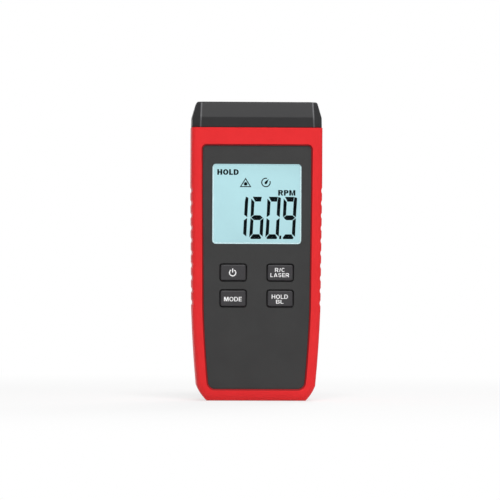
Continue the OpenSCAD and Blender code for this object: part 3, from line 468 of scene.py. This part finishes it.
def capitals(stem, bar):
    """Plain capitals one unit high, from the widths of their upright and level strokes.

    Each letter has a width, and a list of its outline and its holes.
    """
    letters = {}
    low_bar, high_bar, top = 0.5 - bar / 2, 0.5 + bar / 2, 1 - bar

    wide = 0.74
    far = wide - stem
    foot_side = [(0, 0), (stem, 0), (stem, low_bar), (far, low_bar), (far, 0), (wide, 0)]
    head_side = [(wide, 1), (far, 1), (far, high_bar), (stem, high_bar), (stem, 1), (0, 1)]
    letters["H"] = wide, [foot_side + head_side]

    wide = 0.58
    letters["L"] = wide, [[(0, 0), (wide, 0), (wide, bar), (stem, bar), (stem, 1), (0, 1)]]

    wide, middle_w, top_w = 0.62, 0.57, 0.61
    lower_arm = [(0, 0), (wide, 0), (wide, bar), (stem, bar)]
    middle_arm = [(stem, low_bar), (middle_w, low_bar), (middle_w, high_bar), (stem, high_bar)]
    upper_arm = [(stem, top), (top_w, top), (top_w, 1), (0, 1)]
    letters["E"] = wide, [lower_arm + middle_arm + upper_arm]

    wide, middle, tip, crown = 0.92, 0.46, 0.08, 0.17
    notch_z, crotch_z, far = 0.62, 0.35, wide - stem
    left_foot = [(0, 0), (stem, 0), (stem, notch_z), (middle - tip, 0)]
    right_foot = [(middle + tip, 0), (far, notch_z), (far, 0), (wide, 0)]
    head_side = [(wide, 1), (middle + crown, 1), (middle, crotch_z), (middle - crown, 1), (0, 1)]
    letters["M"] = wide, [left_foot + right_foot + head_side]

    wide, rung = 0.8, 0.19
    leg = wide / 2 - stem * 0.57
    under, over = stem + leg * rung, stem + leg * (rung + bar)
    foot_side = [(0, 0), (stem, 0), (under, rung), (wide - under, rung), (wide - stem, 0), (wide, 0)]
    hole = [(over, rung + bar), (wide - over, rung + bar), (wide / 2, (wide / 2 - stem) / leg)]
    letters["A"] = wide, [foot_side + [(wide - leg, 1), (leg, 1)], hole]

    wide = 0.82
    rim_r = wide / 2
    hole = arc(rim_r, 0.5, rim_r - stem, 0.5 - bar, 0, 345, 23)
    letters["O"] = wide, [arc(rim_r, 0.5, rim_r, 0.5, 0, 345, 23), hole]

    def bowl(px, pz, rx, rz, start=-90):
        """Round side of a letter and the hole inside it, as far as the stem."""
        low, high = pz - rz + bar, pz + rz - bar
        hole = [(stem, low)] + arc(px, pz, rx - stem, rz - bar, -90, 90) + [(stem, high)]
        return arc(px, pz, rx, rz, start, 90), hole

    side, hole = bowl(0.33, 0.5, 0.43, 0.5)
    letters["D"] = 0.76, [[(0, 0)] + side + [(0, 1)], hole]

    shoulder_z = 0.38
    side, hole = bowl(0.39, 0.69, 0.31, 0.31)
    letters["P"] = 0.7, [[(0, 0), (stem, 0), (stem, shoulder_z)] + side + [(0, 1)], hole]

    side, hole = bowl(0.42, 0.69, 0.31, 0.31, -62)
    feet = [(0, 0), (stem, 0), (stem, shoulder_z), (0.35, shoulder_z), (0.52, 0), (0.76, 0)]
    letters["R"] = 0.76, [feet + side + [(0, 1)], hole]

    waist_z = 0.56
    lower_side = arc(0.46, 0.28, 0.28, 0.28, -90, 65)
    upper_side = arc(0.44, 0.76, 0.26, 0.24, -58, 90)
    lower_hole = bowl(0.46, waist_z / 2, 0.28, waist_z / 2)[1]
    upper_hole = [(stem, waist_z)] + arc(0.44, 0.69, 0.26 - stem, 0.31 - bar, -90, 90) + [(stem, top)]
    letters["B"] = 0.74, [[(0, 0)] + lower_side + upper_side + [(0, 1)], lower_hole, upper_hole]

    wide = 0.76
    spine = arc(wide / 2, 0.5, (wide - stem) / 2, 0.5 - bar / 2, 45, 315, 24)
    letters["C"] = wide, [stroke(spine, (stem + bar) / 2)]

    wide, bend = 0.7, (1 - bar) / 4
    upper = arc(wide / 2, 0.5 + bend, (wide - stem) / 2, bend, 20, 270)
    lower = arc(wide / 2, 0.5 - bend, (wide - stem) / 2, bend, 90, -160)
    letters["S"] = wide, [stroke(upper + lower[1:], (stem + bar) / 2.1)]

    letters["/"] = 0.36, [[(0, 0), (0.16, 0), (0.36, 1), (0.2, 1)]]
    return letters


def word(alphabet, letters, width, height, at, gap=0.1):
    """Plates of a word, fitted to a width and height in millimetres about its middle."""
    full = sum(alphabet[sign][0] for sign in letters) + gap * (len(letters) - 1)
    shapes, left = [], 0.0
    for sign in letters:
        wide, loops = alphabet[sign]
        fitted = []
        for loop in loops:
            rows = [((left + px) / full - 0.5, pz - 0.5) for px, pz in loop]
            fitted.append([(at[0] + px * width, at[1] + pz * height) for px, pz in rows])
        shapes.append(fitted)
        left += wide + gap
    return shapes


bold = capitals(0.265, 0.23)
marks += word(bold, "HOLD", 9.15, 2.4, (-12.28, 97.26))
marks += word(bold, "RPM", 7.35, 2.35, (12.8, 88.52))
mark_plates = plates("display_marks", marks, mark_front, mark_back)
new_piece("display_marks", mark_plates, display_ink, "housing")

# Keys: four caps with a flange behind the panel that keeps them from falling out.
# Moulded ABS, satin on top, each printed with its function in off-white ink.

key_satin = moulded(
    "key_satin", srgb(62, 61, 63), srgb(56, 55, 57), rough=0.48, grain=5200.0, depth=0.00001, gloss=0.25
)
legend_ink, shader, place = start_finish("legend_ink", Specular_IOR_Level=0.2)
speck = place.noise(4000.0, 3.0)
feed(shader, "Base Color", speck.ramp(0.2, 0.6).blend(srgb(236, 236, 237), srgb(252, 252, 252)))
feed(shader, "Roughness", 0.55 + speck * 0.1)
for node in ("power_key", "laser_key", "mode_key", "hold_key"):
    dress(node, key_satin, ease=0.12)

key_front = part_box("power_key")[0].y
print_front, print_back = key_front - 0.02 * MM, key_front + 0.02 * MM
medium, letter_gap = capitals(0.165, 0.15), 0.14
power_x, power_z, power_r, power_t = -10.25, 54.4, 1.34, 0.44
power_sign = [
    [stroke(arc(power_x, power_z, power_r, power_r, 122, 418, 36), power_t)],
    [stroke([(power_x, power_z + 0.1), (power_x, power_z + 1.85)], power_t)],
]
laser_words = word(medium, "R/C", 4.3, 1.68, (9.88, 55.66), letter_gap)
laser_words += word(medium, "LASER", 8.0, 1.68, (9.82, 53.48), letter_gap)
mode_words = word(medium, "MODE", 7.6, 1.88, (-10.08, 43.2), letter_gap)
hold_words = word(medium, "HOLD", 6.95, 1.78, (9.86, 44.3), letter_gap)
hold_words += word(medium, "BL", 3.15, 1.65, (9.83, 42.14), letter_gap)
for key, shapes in (
    ("power_key", power_sign),
    ("laser_key", laser_words),
    ("mode_key", mode_words),
    ("hold_key", hold_words),
):
    name = key.replace("key", "legend")
    new_piece(name, plates(name, shapes, print_front, print_back), legend_ink, key)

# Switches: a tact switch under each key, its pressed steel case soldered to the board.
# A nylon plunger carries the key's push into the switch.

black_nylon = moulded(
    "black_nylon", srgb(30, 30, 32), srgb(24, 24, 26), rough=0.5, grain=4000.0, depth=0.00001, gloss=0.3
)


def plated(name, colour, shade, rough, scratch):
    """Plated metal: cloudy tint, fine drawn scratches and uneven gloss."""
    material, shader, place = start_finish(name, Metallic=1.0)
    cloud = place.noise(160.0, 3.0)
    drawn = place.node("ShaderNodeVectorMath", {"operation": "MULTIPLY"}, {0: place, 1: (1.0, 1.0, 0.08)})
    fine = drawn.noise(9000.0, 2.0)
    feed(shader, "Base Color", cloud.ramp(0.3, 0.7).blend(shade, colour))
    feed(shader, "Roughness", rough + (fine - 0.5) * 0.18 + (cloud - 0.5) * 0.1)
    feed(shader, "Normal", place.bump(fine, scratch))
    return material


nickel = plated("nickel", srgb(196, 198, 202), srgb(176, 179, 184), rough=0.28, scratch=0.000004)
dress("tact_switches", nickel, ease=0.1)
for node in ("power_plunger", "laser_plunger", "mode_plunger", "hold_plunger"):
    dress(node, black_nylon, ease=0.1)

# Circuit board: glass epoxy under a green solder mask that shows the copper tracks below it.
# It carries the microcontroller, the crystal in its can and everything of the display.

solder_mask, shader, place = start_finish("solder_mask", Specular_IOR_Level=0.5)
cells = place.node(
    "ShaderNodeTexVoronoi",
    {"feature": "DISTANCE_TO_EDGE", "voronoi_dimensions": "3D"},
    {"Vector": place, "Scale": 260.0},
    "Distance",
)
track = 1 - cells.ramp(0.04, 0.07)
weave = place.noise(2600.0, 2.0)
feed(shader, "Base Color", track.blend(srgb(24, 92, 52), srgb(46, 128, 74)))
feed(shader, "Roughness", 0.34 + weave * 0.12)
feed(shader, "Normal", place.bump(track * 0.8 + weave * 0.2, 0.00003))
dress("circuit_board", solder_mask, ease=0.1)
dress("microcontroller", black_nylon, ease=0.2)
dress("crystal", nickel, ease=0.25)

# Optics: a black holder pegged to the board, with the laser in one bore and the receiver in the other.
# The laser is a turned brass barrel with its lens; a larger lens gathers light on the photodiode.

dress("optics_holder", black_nylon, ease=0.2)
turned_brass = plated("turned_brass", srgb(206, 168, 92), srgb(184, 146, 74), rough=0.26, scratch=0.000004)
dress("laser_module", turned_brass, ease=0.15)
dress("photodiode", black_nylon, ease=0.1)
coated_lens, shader, place = start_finish("coated_lens", IOR=1.52, Transmission_Weight=1.0)
film = place.noise(300.0)
feed(shader, "Base Color", film.blend(srgb(226, 236, 242), srgb(238, 240, 250)))
feed(shader, "Roughness", 0.02 + film * 0.03)
for node in ("laser_lens", "receiver_lens"):
    dress(node, coated_lens)

# Battery contacts: conical springs and flat plates of nickel-plated steel in the bay's ends.
# The springs press on the cells' flat ends, and two tabs run through the bay floor to the board.

dress("contact_springs", nickel)
dress("contact_plates", nickel, ease=0.06)

# Cells: three AAA cells side by side, each in a plain printed sleeve shrunk over a steel can.
# The sleeve ends in a rolled shoulder, with a raised button at one end and a flat pan at the other.

can_r, sleeve_h, button_r, button_h = 5.25, 43.5, 1.9, 1.0
sleeve_end_r, band_low = 4.6 * MM, 33.0 * MM
profile = [
    (0.0, 0.25), (3.6, 0.25), (3.9, 0.0), (4.3, 0.0), (4.5, 0.25),
    (4.75, 0.12), (5.05, 0.2), (5.22, 0.5), (can_r, 0.9),
    (can_r, sleeve_h - 0.9), (5.2, sleeve_h - 0.45), (5.0, sleeve_h - 0.15), (4.7, sleeve_h - 0.05),
    (4.45, sleeve_h - 0.2), (4.2, sleeve_h - 0.35), (2.5, sleeve_h - 0.35), (2.2, sleeve_h - 0.2),
    (button_r, sleeve_h), (button_r, sleeve_h + button_h - 0.25), (button_r - 0.25, sleeve_h + button_h),
    (0.0, sleeve_h + button_h),
]
sleeve_print, shader, place = start_finish("sleeve_print", Coat_Roughness=0.2)
across = place.node("ShaderNodeVectorMath", {"operation": "MULTIPLY"}, {0: place, 1: (1.0, 1.0, 0.0)})
radius = across.node("ShaderNodeVectorMath", {"operation": "LENGTH"}, {0: across}, "Value")
sleeve = radius.ramp(sleeve_end_r, sleeve_end_r + 0.15 * MM)
band = place.axes()[2].ramp(band_low, band_low + 0.1 * MM)
scuff = place.noise(900.0, 4.0)
printed = band.blend(srgb(58, 72, 90), srgb(196, 198, 202))
feed(shader, "Base Color", sleeve.blend(srgb(190, 192, 196), printed))
feed(shader, "Metallic", 1 - sleeve * (1 - band * 0.6))
feed(shader, "Roughness", 0.3 + scuff * 0.15)
feed(shader, "Coat Weight", sleeve * 0.4)


def turned(name, outline, steps):
    """Mesh turned from an outline of radius and height in millimetres."""
    form = bmesh.new()
    rings = []
    for r, h in outline:
        count = steps if r else 1
        turns = [2 * math.pi * k / count for k in range(count)]
        ring = [(r * MM * math.cos(a), r * MM * math.sin(a), h * MM) for a in turns]
        rings.append([form.verts.new(point) for point in ring])
    for low, high in zip(rings, rings[1:]):
        for k in range(steps):
            n = (k + 1) % steps
            corners = [low[k % len(low)], low[n % len(low)], high[n % len(high)], high[k % len(high)]]
            form.faces.new(list(dict.fromkeys(corners)))
    bmesh.ops.recalc_face_normals(form, faces=form.faces)
    for face in form.faces:
        face.smooth = True
    mesh = bpy.data.meshes.new(name)
    form.to_mesh(mesh)
    form.free()
    return mesh


for node, up in (("left_cell", True), ("middle_cell", False), ("right_cell", True)):
    low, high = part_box(node)
    middle = (low + high) / 2
    at = (middle.x, middle.y, low.z if up else high.z)
    turn = (0 if up else math.pi, 0, 0)
    name = node + "_sleeve"
    cell = new_piece(name, turned(name, profile, 64), sleeve_print, "housing", at, turn)
    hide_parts(node)

# Battery door: the plate over the bay, on two hinge barrels below and a sprung latch above.
# Moulded ABS with the panel's grain, and grooves across it for the thumb.

dress("battery_door", panel_grain, ease=0.2)

# Nose cap: the hipped dark cap that closes the shell's upper end and shields the optics.
# Moulded ABS with a satin skin. Its collar plugs into the shell, and a smoked window closes its top.

cap_foot, cap_hip, cap_top, cap_front = 116.2 * MM, 121.5 * MM, 126.95 * MM, 9.0 * MM
corner_half, corner_lean, line_half, least_highlight = 24.15 * MM, 0.045, 0.12 * MM, 0.55


def painted_highlight_edges(place):
    """1 along the upright edges beside the cap's front, where a highlight is painted as a pale line."""
    x, y, z = place.axes()
    corner_x = corner_half - (z - cap_foot) * corner_lean
    line = 1 - abs(abs(x) - corner_x).ramp(line_half, line_half * 4)
    highlight_share = least_highlight + z.ramp(cap_hip - 2.5 * MM, cap_hip) * (1 - least_highlight)
    in_front = (0 - y).ramp(cap_front - 1.0 * MM, cap_front)
    below_top = 1 - z.ramp(cap_top - 0.35 * MM, cap_top)
    return line * highlight_share * in_front * below_top


# Painted highlight: the cap's upright front edges carry a pale line, weaker low down and full strength near
# the hip.
cap_grey, cap_shade, painted_highlight_grey = srgb(50, 50, 51), srgb(45, 45, 46), srgb(118, 118, 120)
cap_satin = moulded(
    "cap_satin",
    cap_grey,
    cap_shade,
    rough=0.46,
    grain=5200.0,
    depth=0.00001,
    gloss=0.14,
    where=painted_highlight_edges,
    mark=painted_highlight_grey,
)
dress("nose_cap", cap_satin, ease=0.3, crease=17.0)
smoked_acrylic, shader, place = start_finish("smoked_acrylic", IOR=1.49, Specular_IOR_Level=0.15)
haze = place.noise(220.0)
feed(shader, "Base Color", haze.blend(srgb(34, 12, 14), srgb(44, 18, 20)))
feed(shader, "Roughness", 0.28 + haze * 0.04)
feed(shader, "Alpha", 0.94 + haze * 0.04)
dress("sensor_window", smoked_acrylic, ease=0.15)

# Screws: cross-slotted pan heads that close the case from behind and hold the board to its posts.
# Zinc-plated steel.

zinc = plated("zinc", srgb(178, 182, 188), srgb(156, 160, 166), rough=0.34, scratch=0.000005)
for node in ("case_screws", "board_screws"):
    dress(node, zinc, ease=0.1)

# Studio: a pale floor that runs out to white and keeps the shadow near the object,
# a white surround for the eye and for reflections, and large soft lamps above and beside.

floor_half, floor_low = 12.0, -0.2 * MM
shadow_r, white_r, floor_light, room_level = 0.12, 0.4, 0.7, 0.22
floor_mesh = bpy.data.meshes.new("floor")
floor_mesh.from_pydata(
    [(sx * floor_half, sy * floor_half, floor_low) for sx, sy in ((-1, -1), (1, -1), (1, 1), (-1, 1))],
    [],
    [(0, 1, 2, 3)],
)
floor = bpy.data.objects.new("floor", floor_mesh)
bpy.context.scene.collection.objects.link(floor)


def seen_rays(tree):
    """1 for rays from the eye, a reflection or a clear piece, else 0."""
    rays = tree.nodes.new("ShaderNodeLightPath").outputs
    eye, glossy, through = [
        Wire(rays[name]) for name in ("Is Camera Ray", "Is Glossy Ray", "Is Transmission Ray")
    ]
    return eye.larger(glossy).larger(through)


paper = bpy.data.materials.new("paper")
paper.use_nodes = True
tree = paper.node_tree
tree.nodes.clear()
seen = seen_rays(tree)
place = Wire(tree.nodes.new("ShaderNodeTexCoord").outputs["Object"])
reach = place.node("ShaderNodeVectorMath", {"operation": "LENGTH"}, {0: place}, "Value")
far = reach.ramp(shadow_r, white_r)
white = seen.node("ShaderNodeEmission", {}, {"Color": (1, 1, 1, 1), "Strength": 1.0})
matt = seen.node("ShaderNodeBsdfDiffuse", {}, {"Color": (0.9, 0.9, 0.9, 1)})
share = seen * (floor_light + far * (1 - floor_light))
paper_out = seen.node("ShaderNodeMixShader", {}, {0: share, 1: matt, 2: white})
tree.links.new(paper_out.socket, tree.nodes.new("ShaderNodeOutputMaterial").inputs["Surface"])
floor_mesh.materials.append(paper)

surround = bpy.data.worlds.new("surround")
bpy.context.scene.world = surround
surround.use_nodes = True
tree = surround.node_tree
strength = room_level + seen_rays(tree) * (1 - room_level)
background = tree.nodes["Background"]
background.inputs["Color"].default_value = (1, 1, 1, 1)
feed(background, "Strength", strength)

lamp_aim = Vector((0, 0, 64.0 * MM))


def softbox(name, at, size, watts):
    """Square soft lamp that points at the middle of the object."""
    lamp = bpy.data.lights.new(name, "AREA")
    lamp.shape = "SQUARE"
    lamp.size = size
    lamp.energy = watts
    holder = bpy.data.objects.new(name, lamp)
    bpy.context.scene.collection.objects.link(holder)
    holder.location = at
    holder.rotation_euler = (lamp_aim - Vector(at)).to_track_quat("-Z", "Y").to_euler()


softbox("main_softbox", (0.05, -0.8, 1.2), size=0.55, watts=13.8)
softbox("left_softbox", (-0.75, -0.95, 0.5), size=0.35, watts=0.15)
softbox("right_softbox", (0.75, -0.95, 0.5), size=0.35, watts=0.9)
softbox("back_softbox", (0.4, 1.1, 0.9), size=0.9, watts=8.0)

# Camera: level with the object, a touch from its left and rolled by a quarter of a degree,
# through a long lens as in the photograph.

lens, sensor, view_w = 300.0, 36.0, 212.5 * MM
yaw, roll = math.radians(-2.3), math.radians(-0.25)
aim = Vector((-2.92 * MM, cad_box[0].y, 64.1 * MM))
camera = bpy.data.objects.new("camera", bpy.data.cameras.new("camera"))
camera.data.lens = lens
camera.data.sensor_width = sensor
camera.data.clip_end = 100.0
camera.location = aim + Vector((math.sin(yaw), -math.cos(yaw), 0)) * view_w * lens / sensor
camera.rotation_euler = (math.radians(90), roll, yaw)
bpy.context.scene.collection.objects.link(camera)
bpy.context.scene.camera = camera
bpy.context.scene.view_settings.view_transform = "Standard"
